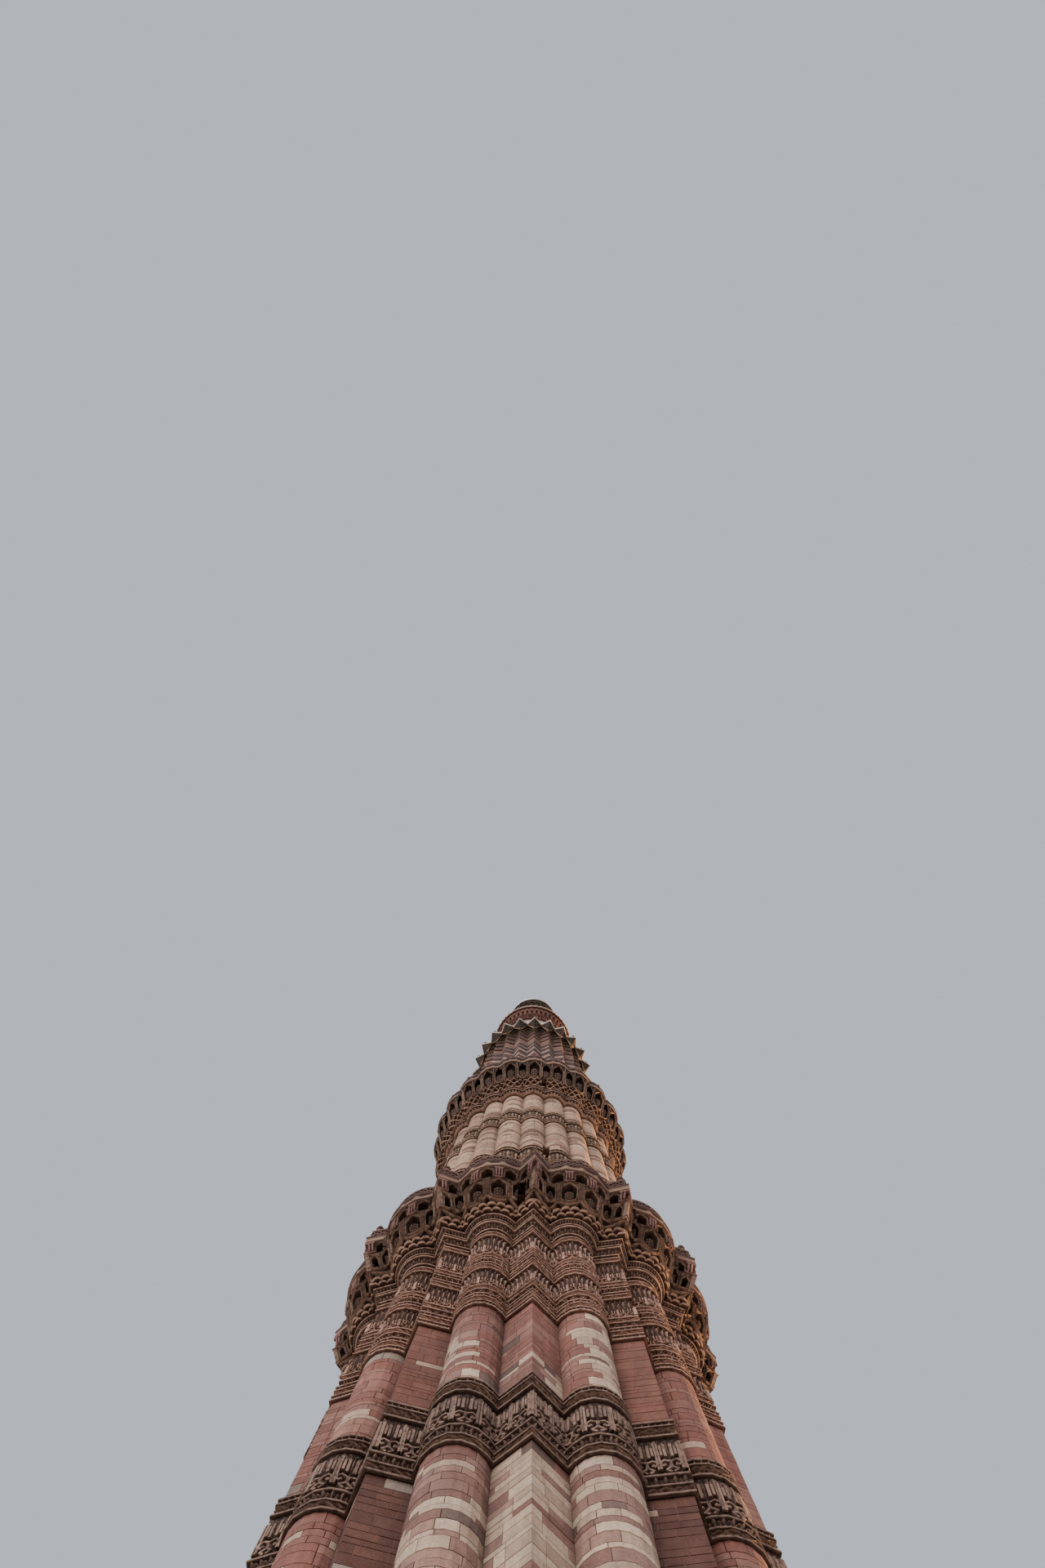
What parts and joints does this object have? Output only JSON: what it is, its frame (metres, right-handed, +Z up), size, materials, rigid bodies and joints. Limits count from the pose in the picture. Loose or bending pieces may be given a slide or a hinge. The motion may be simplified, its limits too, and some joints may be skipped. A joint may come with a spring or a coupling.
{
  "type": "five-storey fluted stone minaret, 1:2 scale model",
  "caption": "Tapering stone minaret with round and wedge flutes, carved bands, corbelled balconies with parapets, a hollow shaft and an arched entrance; half-size model.",
  "frame": {"origin": "centre of the plinth's underside, at ground level", "axes": "+Z up along the tower; -Y is the front, the side in the picture; the entrance and balcony doorways open towards +Y"},
  "size_m": [7.535, 7.535, 36.275],
  "materials": {
    "plinth_stone": "worn dressed sandstone",
    "pink_sandstone": "dressed pink sandstone ashlar",
    "buff_sandstone": "dressed buff sandstone ashlar",
    "carved_sandstone": "carved weathered sandstone",
    "red_sandstone": "carved dark red sandstone",
    "white_marble": "dressed white marble",
    "rail_steel": "galvanised steel"
  },
  "bodies": {
    "root": {"balcony_1_corbel_back": "carved_sandstone", "balcony_1_corbel_front_left": "carved_sandstone", "balcony_1_corbel_front_right": "carved_sandstone", "balcony_1_corbel_left": "carved_sandstone", "balcony_1_corbel_right": "carved_sandstone", "balcony_1_floor": "pink_sandstone", "balcony_1_parapet": "pink_sandstone", "balcony_1_slot_lintel": "carved_sandstone", "balcony_1_slot_sill": "carved_sandstone", "balcony_2_corbel": "carved_sandstone", "balcony_2_floor": "pink_sandstone", "balcony_2_parapet": "pink_sandstone", "balcony_3_corbel": "carved_sandstone", "balcony_3_floor": "pink_sandstone", "balcony_3_parapet": "pink_sandstone", "balcony_4_corbel": "red_sandstone", "balcony_4_floor": "pink_sandstone", "balcony_4_parapet": "pink_sandstone", "entrance_arch": "carved_sandstone", "entrance_jamb_left": "pink_sandstone", "entrance_jamb_right": "pink_sandstone", "plinth": "plinth_stone", "storey_1_band_fourth": "carved_sandstone", "storey_1_band_lowest": "carved_sandstone", "storey_1_band_second": "carved_sandstone", "storey_1_band_third": "carved_sandstone", "storey_1_band_upper": "carved_sandstone", "storey_1_foot_front": "pink_sandstone", "storey_1_foot_left": "pink_sandstone", "storey_1_foot_right": "pink_sandstone", "storey_1_wall_back": "pink_sandstone", "storey_1_wall_front": "pink_sandstone", "storey_1_wall_left": "pink_sandstone", "storey_1_wall_right": "pink_sandstone", "storey_2_band_lower": "carved_sandstone", "storey_2_band_middle": "carved_sandstone", "storey_2_wall_back": "buff_sandstone", "storey_2_wall_front": "buff_sandstone", "storey_2_wall_left": "buff_sandstone", "storey_2_wall_right": "buff_sandstone", "storey_3_wall": "buff_sandstone", "storey_4_marble_drum": "white_marble", "storey_4_upper_drum": "red_sandstone", "storey_5_drum": "white_marble", "top_corbel": "red_sandstone", "top_platform": "red_sandstone", "top_rail": "rail_steel"}
  },
  "joints": []
}
